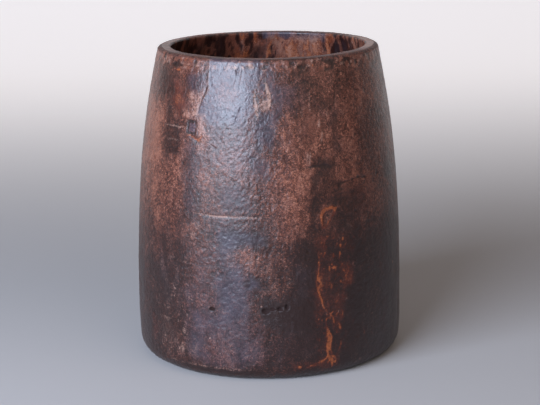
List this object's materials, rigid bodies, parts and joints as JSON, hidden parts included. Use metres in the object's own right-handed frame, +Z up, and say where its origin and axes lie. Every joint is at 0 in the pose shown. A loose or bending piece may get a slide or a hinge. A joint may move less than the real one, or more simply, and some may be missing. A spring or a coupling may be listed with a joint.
{
  "type": "carved wooden pot",
  "caption": "Barrel-shaped pot hollowed from a log, open at the top, with a thick wall, a flat worn rim and a flat foot.",
  "frame": {"origin": "middle of the flat underside, on the surface that the pot stands on", "axes": "+Z up along the pot, -Y towards the viewer of the picture, +X to the viewer's right"},
  "size_m": [0.2504, 0.2468, 0.29],
  "materials": {
    "patinated_wood": "hand-rubbed dark patina over red-brown hardwood, worn satin"
  },
  "bodies": {
    "root": {"pot": "patinated_wood"}
  },
  "joints": []
}
